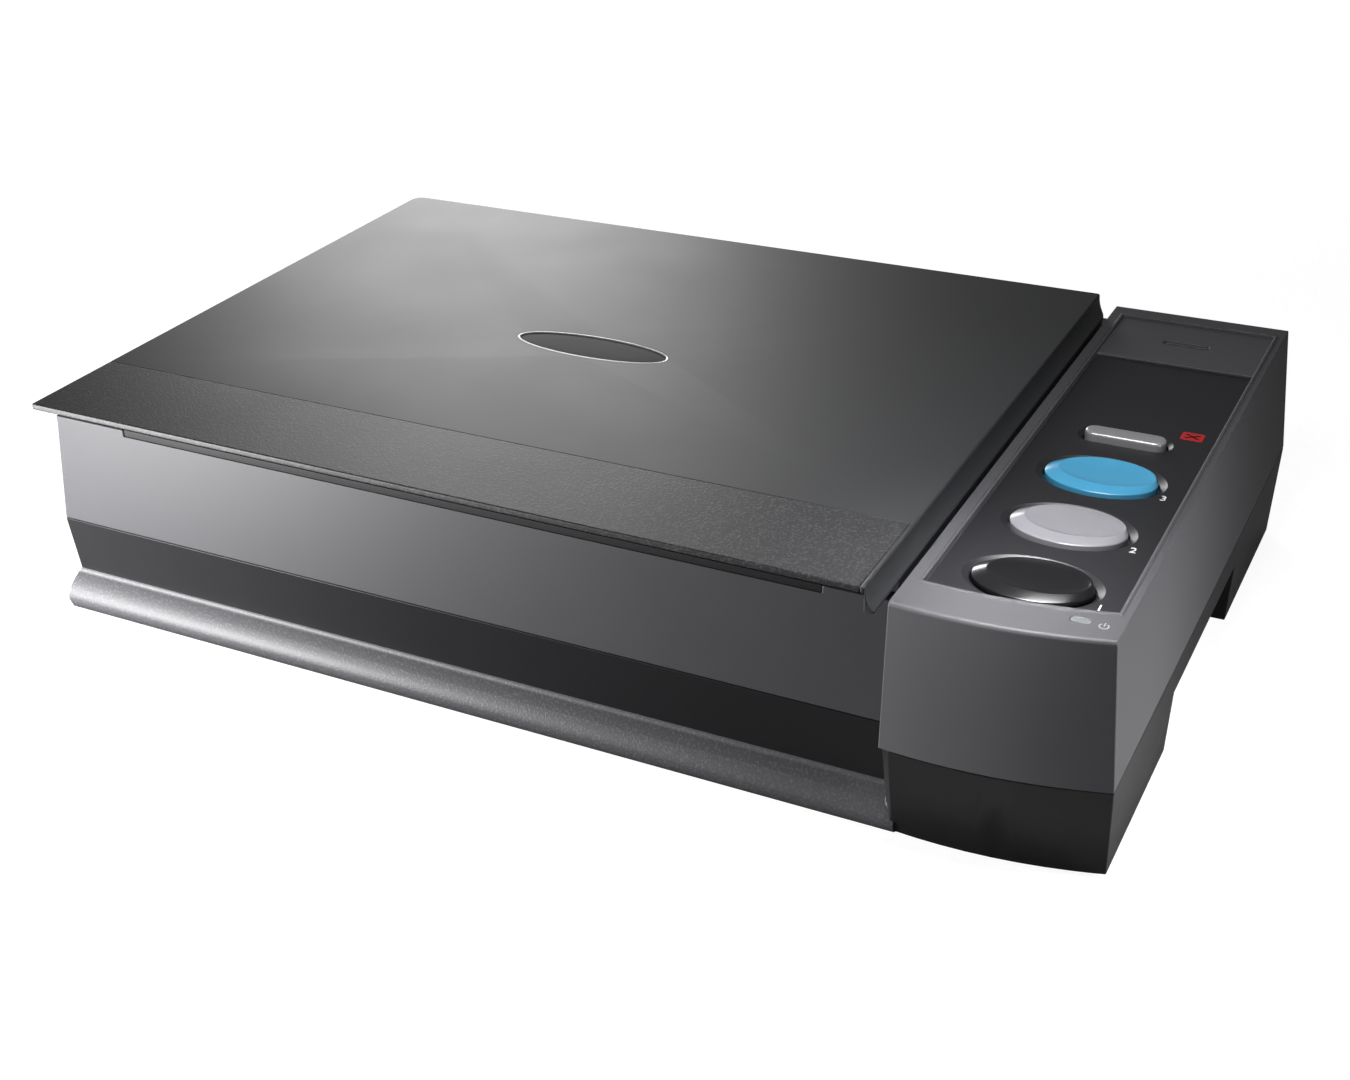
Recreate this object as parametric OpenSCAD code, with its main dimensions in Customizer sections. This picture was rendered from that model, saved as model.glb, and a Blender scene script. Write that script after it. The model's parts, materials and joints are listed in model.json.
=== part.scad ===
// Flatbed scanner of the book-edge kind, with the control box on its right.
// Millimetres, Z up. The origin is on the floor, under the middle of the case.

/* [Case] */
// Width of the whole case, from the skirt at the left to the belt line at the right
case_w = 453; // [430:1:545]
// Depth of the whole case, from the front edge of the lid's flap to the back
case_d = 285; // [250:1:345]
// Height of the whole scanner with its lid closed
case_h = 105; // [98:1:128]
// Height of the belt line, where the upper and lower halves meet
seam_h = 42; // [38:0.5:51]
// Thickness of the case walls
wall = 2.5; // [2:0.1:3]
// Width of the control box at the right
control_w = 78; // [68:1:94]

/* [Lid] */
// Thickness of the lid
lid_t = 14.7; // [13.5:0.1:17.6]
// Depth of the grainy flap at the front of the lid
flap_d = 46; // [38:0.5:56]
// Thickness of the flap
flap_t = 2.5; // [2:0.1:3]
// Length of the oval badge
badge_l = 71; // [50:1:86]

/* [Scan bed] */
// Thickness of the glass
glass_t = 3; // [2.5:0.1:3.6]
// Depth of the bed behind the glass
rear_border = 38; // [36:1:46]

/* [Buttons] */
// Length of a scan button, across the box
button_l = 41.5; // [34:0.5:48]
// Width of a scan button, along the box
button_w = 27; // [22:0.5:33]
// Distance from one scan button to the next
button_pitch = 41; // [38:0.5:46]
// How far a button goes down
press = 1; // [0.6:0.1:1.2]

/* [Carriage] */
// Width of the carriage along its travel
carriage_w = 50; // [44:1:60]
// Radius of the guide rod
rod_r = 4; // [3.2:0.1:4.8]
// Radius of the motor body
motor_r = 17.5; // [14:0.5:19]

/* [Hidden] */
$fn = 64;

// ---- Clearances ----
lift_gap = 0.3;       // lid above the glass, and other faces that only just miss
shaft_play = 0.05;    // between a shaft and the bore that turns on it
run_gap = 1.3;        // between the moving carriage and what it passes under

// ---- Case outline ----
x_left = -case_w / 2;
x_right = case_w / 2;
y_front = -case_d / 2;
y_back = case_d / 2;
foot_h = 1.5;                      // rubber feet below the base
floor_z = foot_h + wall;           // top of the base's floor
belt_x0 = x_left + 1.5;            // left side at the belt line; the skirt stands out a little
box_x0 = x_right - control_w;      // left face of the control box
wall_y = y_front + 17.5;           // front wall at the belt line, under the overhanging flap
glass_z = case_h - lid_t - lift_gap;   // top of the glass
deck_z = glass_z - glass_t;            // top of the deck that carries the glass
box_z = glass_z + 6;                   // top of the control box
lean = 1.5;                            // how far the front wall leans in toward its top

// ---- Space inside ----
in_x0 = belt_x0 + 7.5 + wall;      // clears the left wall at its top
in_x1 = box_x0 - wall;
in_y0 = wall_y + 2.7 + wall;       // clears the crease above the skirt
in_y1 = y_back - 1.5 - wall;
bay_x0 = box_x0 + wall;            // electronics bay in the control box
bay_x1 = x_right - 5 - wall;
bay_y0 = wall_y - 1;               // the bay's front posts stand behind this line

// ---- Bowed front of the control box ----
bow_r = 200;
bow_x = box_x0 + 20;               // where the bow comes furthest forward
bow_y = y_front + 2;               // and how far, at the belt line
lower_tilt = 13.7;
upper_tilt = -6;

// ---- Hand notch low on the right ----
notch_d = 0.51 * control_w;
notch_y = [wall_y + 81.5, wall_y + 81.5 + 0.35 * case_d];
notch_h = 0.64 * seam_h;

// ---- Scan bed ----
glass_x = [belt_x0 + 41, box_x0 - 27.5];
glass_y = [wall_y + lean + 0.4, y_back - rear_border];

// ---- Lid ----
lid_x = [belt_x0 + 14, box_x0 - 1.5];
lid_y = [y_front + 23.5, y_back - 11.5];   // the cover; the flap runs on forward from it
lid_z = [glass_z + 0.8, case_h];
skin = 2.2;
side_rim = 5;                              // smooth strip of the cover beside the flap
flap_y1 = y_front + flap_d;
tray_z = [glass_z + 3.2, glass_z + 5.2];
pin_y = lid_y[1] - 4.5;                    // hinge axis
pin_z = glass_z + 7.5;
pin_r = 1.8;
post_w = 16;
post_d = 7;
post_l = 45;
hinge_x = [lid_x[0] + 61, lid_x[1] - 61];
badge_at = [(lid_x[0] + lid_x[1]) / 2, (y_front + lid_y[1]) / 2];

// ---- Panel and buttons ----
panel_x = [box_x0 + 5.7, x_right - 8.5];
panel_y = [y_front + 25.5, y_back - 10];
panel_z = box_z - 3.5;                     // floor of the recess
panel_t = 2;
shelf_z = panel_z - 2;                     // underside of the recess floor
cap_y0 = panel_y[1] - 42.5;                // the cap starts here
button_x = (panel_x[0] + panel_x[1]) / 2;
button_y = [for (k = [0:2]) panel_y[0] + 4 + button_w / 2 + k * button_pitch];
cancel_y = button_y[2] + 20 + 0.5 * button_w;
bar_l = 31;
bar_w = 8;
switch_y = concat(button_y, [cancel_y]);
button_board_z = shelf_z - 9.5;            // top of the button board

// ---- Carriage ----
car_x = [in_x0 + 1.5, in_x0 + 1.5 + carriage_w];        // at home, at the left
car_y = [in_y0 + 2.3, glass_y[1] + 6];
car_z = [24, deck_z - wall - run_gap - 5.2];            // under the cover and light bar
car_mid = (car_x[0] + car_x[1]) / 2;
car_wall = 2.5;
travel = in_x1 - 3.5 - car_x[1];
rod_y = car_y[0] + 0.8 * (car_y[1] - car_y[0]);
rod_z = 13;
rail_y = [in_y0 + 7.5, in_y0 + 19.5];
rail_z = 20;

// ---- Drive ----
mod = 0.5;                                 // gear module
gear_teeth = 48;
pinion_teeth = 12;
belt_r = 6.366;                            // pitch radius of both pulleys, 40 mm a turn
belt_t = 1.4;
belt_y = car_y[1] - 17.5;
belt_z = [8, 14];
idler_x0 = in_x0 + 12;
drive_x = bay_x0 + 14;
motor_x = drive_x + mod * (gear_teeth + pinion_teeth) / 2;
gear_z = [15, 19.5];
plate_z = [22, 23.5];

// ---- Boards and sockets ----
board_x = [bay_x0 + 2, bay_x1 - 4];
board_y = [bay_y0 + 12, notch_y[1] - 6];
board_z = max(31, notch_h + wall + 2);
io_z = 12;                                 // top of the socket board
io_y = [in_y1 - 22, in_y1];
io_x = [bay_x0 + 4, bay_x1 - 4];
usb_x = io_x[0] + 10;
jack_x = io_x[0] + 27;
rocker_at = [io_x[0] + 43, y_back - 5, io_z + 7.5];

main_screws = [[in_x0 + 8, in_y1 - 5], [(in_x0 + in_x1) / 2, in_y1 - 5],
    [in_x1 - 8, in_y1 - 5]];
box_screws = [[bay_x0 + 5, bay_y0 + 5], [bay_x1 - 5, bay_y0 + 8], [bay_x1 - 5, in_y1 - 28]];
board_posts = [[board_x[0] + 6, board_y[0] + 5], [board_x[1] - 5, board_y[0] + 5],
    [board_x[0] + 6, board_y[1] - 5], [board_x[1] - 5, board_y[1] - 5]];
io_posts = [[io_x[0] + 3, io_y[0] + 4], [io_x[1] - 3, io_y[0] + 4]];
button_posts = [[button_x - 21, button_y[0] + button_pitch / 2],
    [button_x + 21, button_y[0] + button_pitch / 2],
    [button_x - 21, button_y[1] + button_pitch / 2],
    [button_x + 21, button_y[1] + button_pitch / 2]];

// ---- Helpers ----
// A box from its [low, high] on each axis
module slab(x, y, z) translate([x[0], y[0], z[0]])
    cube([x[1] - x[0], y[1] - y[0], z[1] - z[0]]);

// A flat shape drawn in Y and Z, run along X
module along_x(x) translate([x[0], 0, 0]) rotate([90, 0, 90])
    linear_extrude(x[1] - x[0]) children();

// A flat shape drawn in X and Z, run along Y
module along_y(y) translate([0, y[1], 0]) rotate([90, 0, 0])
    linear_extrude(y[1] - y[0]) children();

// An upright round post, and a round bar along X
module post(at, r, z) translate([at[0], at[1], z[0]]) cylinder(r = r, h = z[1] - z[0]);
module bar_x(x, r, y, z) translate([x[0], y, z]) rotate([0, 90, 0])
    cylinder(r = r, h = x[1] - x[0]);

// Oval with semi-axes a and b
module oval(a, b) polygon([for (i = [0:59]) [a * cos(6 * i), b * sin(6 * i)]]);
module oval_post(at, a, b, z) translate([at[0], at[1], z[0]])
    linear_extrude(z[1] - z[0]) oval(a, b);

// Flat bar with round ends
module slot(l, w) {
    square([l - w, w], center = true);
    for (s = [-1, 1]) translate([s * (l - w) / 2, 0]) circle(d = w);
}

// Large round solid whose front is the bowed face, leaning by tilt about its line at height z
module bow(tilt, inset, z) translate([bow_x, bow_y + inset + bow_r / cos(tilt), z])
    rotate([tilt, 0, 0]) cylinder(r = bow_r, h = 400, center = true, $fn = 180);

// Spur gear with straight-flanked teeth, thin enough to leave backlash
module gear(teeth, z, turn = 0) {
    pitch = mod * teeth / 2;
    step = 360 / teeth;
    function at(r, w) = [r, w / (2 * r) * 180 / PI];
    tooth = [at(pitch - 0.6, -0.8), at(pitch + 0.4, -0.28), at(pitch + 0.4, 0.28),
        at(pitch - 0.6, 0.8)];
    translate([0, 0, z[0]]) rotate(turn) linear_extrude(z[1] - z[0])
        polygon([for (i = [0:teeth - 1]) for (p = tooth)
            [p[0] * cos(i * step + p[1]), p[0] * sin(i * step + p[1])]]);
}

// Flanged belt pulley about the Z axis
module pulley() {
    translate([0, 0, belt_z[0] - 1]) cylinder(r = belt_r + 1.7, h = 0.8);
    translate([0, 0, belt_z[0] - 0.2]) cylinder(r = belt_r - belt_t / 2 - 0.35, h = 6.4);
    translate([0, 0, belt_z[1] + 0.2]) cylinder(r = belt_r + 1.7, h = 0.8);
}

// Screw pointing up, its head's underside at z
module screw(at, z, l, r = 1.5) {
    translate([at[0], at[1], z - 2]) cylinder(r = 1.9 * r, h = 2);
    translate([at[0], at[1], z - 0.01]) cylinder(r = r, h = l);
}

// ---- Case ----
// Side of the main tub, up from the floor: rounded skirt, crease, then out to the belt line
crease_z = 16.5;
function skirt(edge, out, tuck) = concat([[edge - out + 0.8, foot_h]],
    [for (t = [0:0.125:1]) [edge + tuck - (out + tuck) * (1 - t * t),
        5 + (crease_z - 5) * t]],
    [[edge, seam_h]]);

module main_tub() intersection() {
    along_x([x_left - 1, box_x0 + 3.6]) polygon(concat(skirt(wall_y, 6.5, 2.5),
        [[y_back, seam_h], [y_back - 1.5, foot_h]]));
    along_y([y_front - 1, y_back + 1]) polygon(concat(skirt(belt_x0, 1.5, 0.2),
        [[box_x0 + 3.6, seam_h], [box_x0 + 3.6, foot_h]]));
}

module box_tub() difference() {
    intersection() {
        along_y([y_front - 1, y_back + 1]) polygon([[box_x0 - 1, foot_h],
            [x_right - 2, foot_h], [x_right, seam_h], [box_x0 - 1, seam_h]]);
        along_x([box_x0 - 1, x_right + 1]) polygon([[y_front - 1, foot_h],
            [y_front - 1, seam_h], [y_back, seam_h], [y_back - 1.5, foot_h]]);
        bow(lower_tilt, 0, seam_h);
    }
    // the bow's left end is cut to a slanting flat
    translate([box_x0, bow_y, seam_h]) rotate([lower_tilt - 2.2, 0, 0])
        translate([0, 0, -60]) linear_extrude(70)
            polygon([[-3, -12], [3.6, -12], [3.6, 0.67], [0, 5.2], [-3, 8.9]]);
}

module sockets_cut(grow) {
    slab([usb_x - 6 - grow, usb_x + 6 + grow], [in_y1 - 1, y_back + 1],
        [io_z - grow, io_z + 11 + grow]);
    slab([jack_x - 5 - grow, jack_x + 5 + grow], [in_y1 - 1, y_back + 1],
        [io_z - grow, io_z + 11 + grow]);
    slab([rocker_at[0] - 7 - grow, rocker_at[0] + 7 + grow], [in_y1 - 1, y_back + 1],
        [io_z - grow, io_z + 15 + grow]);
}

// Tub of dark ABS: floor, skirt, notch, posts for everything that stands on it
module lower_base() color("dimgray") difference() {
    union() {
        difference() {
            union() {
                main_tub();
                box_tub();
            }
            slab([in_x0, in_x1], [in_y0, in_y1], [floor_z, seam_h + 1]);
            difference() {
                intersection() {
                    slab([bay_x0, bay_x1], [y_front, in_y1], [floor_z, seam_h + 1]);
                    bow(lower_tilt, 1.5 * wall, seam_h);
                }
                slab([x_right - notch_d - wall, x_right], notch_y + [-wall, wall],
                    [0, notch_h + wall]);
            }
        }
        for (s = concat(main_screws, box_screws)) post(s, 4, [floor_z - 1, seam_h]);
        for (p = [0:2]) post(board_posts[p], 3.5, [floor_z - 1, board_z]);
        post(board_posts[3], 3.5, [notch_h + 1, board_z]);
        for (p = io_posts) post(p, 3, [floor_z - 1, io_z - 1.6]);
        post([drive_x, belt_y], 5, [floor_z - 1, 6.5]);
    }
    slab([x_right - notch_d, x_right + 1], notch_y, [-1, notch_h]);
    // belt and flat cable pass to the bay
    slab([in_x1 - 1, bay_x0 + 1], [belt_y - 9, belt_y + 9], [floor_z + 1, 17]);
    slab([in_x1 - 1, bay_x0 + 1], [cable_y - 9, cable_y + 9], [floor_z, floor_z + 3]);
    for (s = concat(main_screws, box_screws)) {
        post(s, 3.2, [0, floor_z + 1]);
        post(s, 1.7, [0, seam_h + 1]);
    }
    for (p = concat(board_posts, io_posts)) post(p, 1.1, [floor_z + 1, board_z + 1]);
    post([drive_x, belt_y], 2, [floor_z, 10]);
    sockets_cut(0.3);
}

// Walls of the scan bed, with the raised corners either side of the glass
module upper_housing() color("slategray") {
    difference() {
        intersection() {
            along_x([belt_x0, box_x0]) polygon([[wall_y, seam_h], [wall_y + lean, deck_z],
                [y_back - 1, deck_z], [y_back, seam_h]]);
            along_y([wall_y - 1, y_back + 1]) polygon([[belt_x0, seam_h],
                [belt_x0 + 5, deck_z], [box_x0, deck_z], [box_x0, seam_h]]);
        }
        slab([in_x0, in_x1], [in_y0, in_y1], [seam_h - 1, deck_z + 1]);
    }
    for (x = [[belt_x0 + 5, glass_x[0]], [glass_x[1], box_x0]])
        slab(x, [wall_y + lean, wall_y + lean + wall], [deck_z - 1, glass_z]);
}

// Deck inside the walls: the glass lies over its window, and the hinge posts slide in its tubes
module scan_deck() color("lightslategray") difference() {
    union() {
        slab([in_x0, in_x1], [in_y0, in_y1], [deck_z - wall, deck_z]);
        for (x = hinge_x) slab([x - 10.2, x + 10.2], [pin_y - 5.8, pin_y + 5.8],
            [deck_z - 37, deck_z - 1]);
        for (s = main_screws) post(s, 4, [seam_h, deck_z - 1]);
    }
    slab([glass_x[0] + 4, glass_x[1] - 4], [in_y0 - 1, glass_y[1] - 5],
        [deck_z - 5, deck_z + 1]);
    for (x = hinge_x) slab([x - post_w / 2 - 0.3, x + post_w / 2 + 0.3],
        [pin_y - post_d / 2 - 0.3, pin_y + post_d / 2 + 0.3], [deck_z - 38, deck_z + 1]);
    for (s = main_screws) post(s, 1.5, [seam_h - 1, seam_h + 10]);
}

// U-shaped frame that holds the glass on three sides; the book edge stays open
module platen_frame() color("gray") difference() {
    slab([belt_x0 + 5.5, box_x0 - 0.5], [wall_y + lean + wall, y_back - 1.5],
        [deck_z, glass_z]);
    slab(glass_x, [wall_y, glass_y[1]], [deck_z - 1, glass_z + 1]);
    for (x = hinge_x) slab([x - post_w / 2 - 0.3, x + post_w / 2 + 0.3],
        [pin_y - post_d / 2 - 0.3, pin_y + post_d / 2 + 0.3], [deck_z - 1, glass_z + 1]);
}

module glass_plate() color("lightcyan", 0.5) slab(glass_x, glass_y, [deck_z, glass_z]);

// White strip under the deck, over the scan line's home place
module calibration_strip() color("white")
    slab([car_mid - 4, car_mid + 4], [car_y[0] + 5, car_y[1] - 8],
        [deck_z - wall - 0.4, deck_z - wall]);

// Outline of the recess: straight sides, bowed front
module panel_shape(y, inset = 0) intersection() {
    translate([panel_x[0] + inset, y[0] + inset])
        square([panel_x[1] - panel_x[0] - 2 * inset, y[1] - y[0] - 2 * inset]);
    translate([bow_x, panel_y[0] + bow_r + inset]) circle(r = bow_r, $fn = 180);
}

module button_holes(grow, z) {
    for (y = button_y) oval_post([button_x, y], button_l / 2 + grow, button_w / 2 + grow, z);
    translate([button_x, cancel_y, z[0]]) linear_extrude(z[1] - z[0])
        slot(bar_l + 2 * grow, bar_w + 2 * grow);
}

lens_at = [x_right - 18.5, panel_y[0] - 2.5];

// Upper half of the control box
module control_housing() color("darkslategray") difference() {
    union() {
        difference() {
            intersection() {
                along_y([y_front, y_back]) polygon([[box_x0, seam_h], [x_right, seam_h],
                    [x_right - 4.5, box_z], [box_x0, box_z]]);
                along_x([box_x0 - 1, x_right + 1]) polygon([[y_front - 1, seam_h],
                    [y_front - 1, box_z], [y_back - 0.5, box_z], [y_back, seam_h]]);
                bow(upper_tilt, 0, seam_h);
            }
            intersection() {
                slab([bay_x0, bay_x1], [y_front, in_y1], [seam_h - 1, shelf_z]);
                bow(upper_tilt, wall, seam_h);
            }
        }
        for (s = box_screws) post(s, 4, [seam_h, shelf_z + 1]);
        for (p = button_posts) post(p, 3, [button_board_z, shelf_z + 1]);
        // low ridge round the recess
        translate([0, 0, box_z - 1]) linear_extrude(1.5) panel_shape(panel_y, -1.3);
    }
    translate([0, 0, panel_z]) linear_extrude(10) panel_shape(panel_y);
    button_holes(1, [shelf_z - 1, box_z + 1]);
    translate([lens_at[0], lens_at[1], shelf_z - 1]) linear_extrude(10) slot(7, 3);
    for (s = box_screws) post(s, 1.5, [seam_h - 1, seam_h + 10]);
    for (p = button_posts) post(p, 1.1, [button_board_z - 1, button_board_z + 7]);
}

// Dark panel the buttons come up through
module control_panel() color("black") difference() {
    translate([0, 0, panel_z]) linear_extrude(panel_t)
        panel_shape([panel_y[0], cap_y0 - 0.1]);
    button_holes(0.7, [panel_z - 1, panel_z + 5]);
}

// Grey cap behind the panel, with its pill-shaped slot
module panel_cap() color("dimgray") difference() {
    translate([0, 0, panel_z]) linear_extrude(3) panel_shape([cap_y0 + 0.1, panel_y[1]]);
    translate([button_x, panel_y[1] - 21, panel_z + 1.5]) linear_extrude(5) slot(19, 4.5);
}

// Clear light guide that shows the scanner is on
module status_lens() color("aqua") translate([lens_at[0], lens_at[1], box_z - 6])
    linear_extrude(6) slot(7, 3);

module rubber_feet() color("black")
    for (p = [[x_left + 22, wall_y + 14], [x_left + 22, y_back - 20], [box_x0 - 30, wall_y + 14],
        [x_right - 20, wall_y + 20], [x_right - 20, y_back - 20]]) post(p, 8, [0, foot_h]);

module case_screws() color("silver")
    for (s = concat(main_screws, box_screws)) screw(s, floor_z + 1, seam_h - floor_z + 7);

// ---- Boards and sockets ----
module main_board() color("green") {
    difference() {
        slab(board_x, board_y, [board_z, board_z + 1.6]);
        for (p = board_posts) post(p, 1.5, [board_z - 1, board_z + 2]);
    }
    slab([board_x[0] + 14, board_x[0] + 34], [board_y[0] + 30, board_y[0] + 50],
        [board_z + 1.6, board_z + 4]);
    slab([board_x[0] + 14, board_x[0] + 26], [board_y[0] + 62, board_y[0] + 80],
        [board_z + 1.6, board_z + 3.4]);
    slab([board_x[0] + 1, board_x[0] + 6], [cable_y - 10, cable_y + 10],
        [board_z + 1.6, board_z + 5]);
    for (k = [0:2]) post([board_x[1] - 14, board_y[0] + 30 + 16 * k], 4.5,
        [board_z + 1.6, board_z + 13]);
}

module socket_board() color("seagreen") difference() {
    slab(io_x, io_y, [io_z - 1.6, io_z]);
    for (p = io_posts) post(p, 1.5, [io_z - 2, io_z + 1]);
}

// USB socket of the square kind, facing back
module usb_socket() color("lightgray") {
    difference() {
        slab([usb_x - 6, usb_x + 6], [y_back - 18, y_back - 1.6], [io_z, io_z + 11]);
        slab([usb_x - 4.25, usb_x + 4.25], [y_back - 11, y_back], [io_z + 1.6, io_z + 9.4]);
    }
    slab([usb_x - 2.8, usb_x + 2.8], [y_back - 12, y_back - 3], [io_z + 3.9, io_z + 7.1]);
}

// Barrel inlet with its centre pin, facing back
module power_jack() color("black") {
    difference() {
        slab([jack_x - 5, jack_x + 5], [y_back - 16, y_back - 1.6], [io_z, io_z + 11]);
        translate([jack_x, y_back - 12, io_z + 5.5]) rotate([-90, 0, 0])
            cylinder(r = 3.2, h = 15);
    }
    translate([jack_x, y_back - 13, io_z + 5.5]) rotate([-90, 0, 0])
        cylinder(r = 1.05, h = 10);
}

module switch_housing() color("dimgray") difference() {
    slab([rocker_at[0] - 7, rocker_at[0] + 7], [y_back - 16, y_back - 1.6], [io_z, io_z + 15]);
    slab([rocker_at[0] - 5.3, rocker_at[0] + 5.3], [y_back - 9.5, y_back],
        [io_z + 1, io_z + 14]);
    bar_x([rocker_at[0] - 6.3, rocker_at[0] + 6.3], 1, rocker_at[1], rocker_at[2]);
}

// Rocker that turns on its own round stubs, drawn switched off
module power_rocker() color("red") translate(rocker_at) {
    rotate([8, 0, 0]) along_x([-5, 5])
        polygon([[-1.5, -4.5], [2.7, -5.4], [3.6, 0], [2.7, 5.4], [-1.5, 4.5]]);
    bar_x([-6, 6], 1 - shaft_play, 0, 0);
}

module button_board() color("green") difference() {
    slab([button_x - 25, button_x + 25], [button_y[0] - 12, cancel_y + 12],
        [button_board_z - 1.6, button_board_z]);
    for (p = button_posts) post(p, 1.3, [button_board_z - 3, button_board_z + 1]);
}

module tact_switches() color("silver") for (y = switch_y) {
    slab([button_x - 3, button_x + 3], [y - 3, y + 3], [button_board_z, button_board_z + 3.5]);
    post([button_x, y], 1.7, [button_board_z + 3, button_board_z + 5]);
}

module board_screws() color("silver") {
    for (p = board_posts) translate([p[0], p[1], board_z + 1.6]) {
        cylinder(r = 2.4, h = 1.6);
        translate([0, 0, -5]) cylinder(r = 1.1, h = 6);
    }
    for (p = io_posts) translate([p[0], p[1], io_z]) {
        cylinder(r = 2.4, h = 1.6);
        translate([0, 0, -4.5]) cylinder(r = 1.1, h = 5);
    }
    for (p = button_posts) screw(p, button_board_z - 1.6, 6, 1.1);
}

// ---- Flat cable, in the shape it has with the carriage at home ----
cable_y = car_y[0] + 60;
cable_t = 0.4;
loop_r = (car_z[0] - floor_z) / 2;
module flat_cable() color("white") {
    slab([car_mid, bay_x0 + 2.4], [cable_y - 8, cable_y + 8], [floor_z, floor_z + cable_t]);
    slab([bay_x0 + 2, bay_x0 + 2.4], [cable_y - 8, cable_y + 8], [floor_z, board_z]);
    along_y([cable_y - 8, cable_y + 8]) intersection() {
        difference() {
            translate([car_mid, floor_z + loop_r]) circle(r = loop_r);
            translate([car_mid, floor_z + loop_r]) circle(r = loop_r - cable_t);
        }
        translate([car_mid - 20, 0]) square([20, 40]);
    }
    slab([car_mid, car_mid + 14], [cable_y - 8, cable_y + 8],
        [car_z[0] - cable_t, car_z[0]]);
}

// ---- Rails and drive ----
module guide_rod() color("silver") bar_x([in_x0 + 2, in_x1 - 1.5], rod_r, rod_y, rod_z);

// Blocks on the floor that hold both ends of the rod
module rod_holders() color("dimgray")
    for (x = [[in_x0, in_x0 + 8], [in_x1 - 8, in_x1]]) difference() {
        slab(x, [rod_y - 8, rod_y + 8], [floor_z, rod_z + 6]);
        bar_x([in_x0 + 2, in_x1 - 1.5], rod_r, rod_y, rod_z);
    }

// Folded steel strip that the glide shoe runs over
module support_rail() color("lightsteelblue") {
    slab([in_x0 + 1, in_x1 - 1], rail_y, [rail_z - 1.5, rail_z]);
    slab([in_x0 + 1, in_x1 - 1], [rail_y[0], rail_y[0] + 1.5], [floor_z, rail_z - 1]);
    slab([in_x0 + 1, in_x1 - 1], rail_y, [floor_z, floor_z + 1.5]);
}

module belt_loop(r) translate([0, belt_y]) {
    translate([idler_x0, 0]) circle(r = r);
    translate([drive_x, 0]) circle(r = r);
    translate([idler_x0, -r]) square([drive_x - idler_x0, 2 * r]);
}
module drive_belt() color("black") translate([0, 0, belt_z[0]])
    linear_extrude(belt_z[1] - belt_z[0]) difference() {
        belt_loop(belt_r + belt_t / 2);
        belt_loop(belt_r - belt_t / 2);
    }

module drive_motor() color("silver") difference() {
    union() {
        post([motor_x, belt_y], motor_r, [plate_z[1], plate_z[1] + 18]);
        post([motor_x, belt_y], 4.5, [plate_z[0] - 1, plate_z[1] + 1]);
    }
    post([motor_x, belt_y], 1 + shaft_play, [plate_z[0] - 2, plate_z[1] + 6]);
}

// Steel plate on four legs, over the gears
module motor_bracket() color("lightgray") {
    difference() {
        slab([drive_x - 11, motor_x + 22], [belt_y - 17.5, belt_y + 17.5], plate_z);
        post([motor_x, belt_y], 4.5, [plate_z[0] - 1, plate_z[1] + 1]);
        post([drive_x, belt_y], 2, [plate_z[0] - 1, plate_z[1] + 1]);
    }
    for (x = [drive_x - 8, motor_x + 19], s = [-1, 1])
        post([x, belt_y + 14.5 * s], 2.5, [floor_z, plate_z[0]]);
}

module gear_axle() color("silver") post([drive_x, belt_y], 2, [floor_z, plate_z[1]]);

module drive_gear() color("ivory") translate([drive_x, belt_y, 0]) difference() {
    union() {
        gear(gear_teeth, gear_z);
        pulley();
    }
    translate([0, 0, 5]) cylinder(r = 2 + shaft_play, h = 20);
}

module motor_pinion() color("goldenrod") translate([motor_x, belt_y, 0]) {
    gear(pinion_teeth, gear_z, 15);
    translate([0, 0, gear_z[0]]) cylinder(r = 1, h = plate_z[1] + 4 - gear_z[0]);
}

module idler_pulley() color("ivory") translate([idler_x0, belt_y, 0]) difference() {
    pulley();
    translate([0, 0, 5]) cylinder(r = 2 + shaft_play, h = 20);
}

module idler_axle() color("silver") {
    post([idler_x0, belt_y], 2, [floor_z, belt_z[1] + 2]);
    post([idler_x0, belt_y], 3, [belt_z[1] + 1.5, belt_z[1] + 3]);
}

// Plate that slides on the floor, pulled by the spring to keep the belt tight
module idler_bracket() color("lightgray") {
    difference() {
        slab([in_x0 + 4, idler_x0 + 10], [belt_y - 8, belt_y + 8], [floor_z, floor_z + 1.5]);
        post([idler_x0, belt_y], 2, [floor_z - 1, floor_z + 3]);
    }
    slab([in_x0 + 4, in_x0 + 5.5], [belt_y + 8, belt_y + 14], [floor_z, floor_z + 1.5]);
    slab([in_x0 + 4, in_x0 + 5.5], [belt_y + 10, belt_y + 14], [floor_z, floor_z + 6]);
}

// Close-wound spring, with its end against the case wall
module tension_spring() color("silver")
    translate([in_x0, belt_y + 12, floor_z + 4]) rotate([0, 90, 0])
        rotate_extrude() polygon(concat([for (i = [0:8]) [i % 2 == 0 ? 1.9 : 1.4, i * 0.5]],
            [[0.8, 4], [0.8, 0]]));

// ---- Carriage ----
bearing_x = [[car_x[0] + 8, car_x[0] + 19], [car_x[1] - 19, car_x[1] - 8]];

// Open box that carries the optics
module carriage_housing() color("darkgray") difference() {
    slab(car_x, car_y, car_z);
    slab([car_x[0] + car_wall, car_x[1] - car_wall],
        [car_y[0] + car_wall, car_y[1] - car_wall], [car_z[0] + car_wall, car_z[1] + 1]);
}

// Blocks under the box that hold the bushings
module bearing_blocks() color("dimgray") for (x = bearing_x) difference() {
    slab(x, [rod_y - rod_r - 4.5, rod_y + rod_r + 4.5], [rod_z - rod_r - 3, car_z[0]]);
    bar_x([x[0] - 1, x[1] + 1], rod_r + 2.5, rod_y, rod_z);
}

module rod_bushings() color("goldenrod") for (x = bearing_x) difference() {
    bar_x(x, rod_r + 2.5, rod_y, rod_z);
    bar_x([x[0] - 1, x[1] + 1], rod_r + shaft_play, rod_y, rod_z);
}

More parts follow.
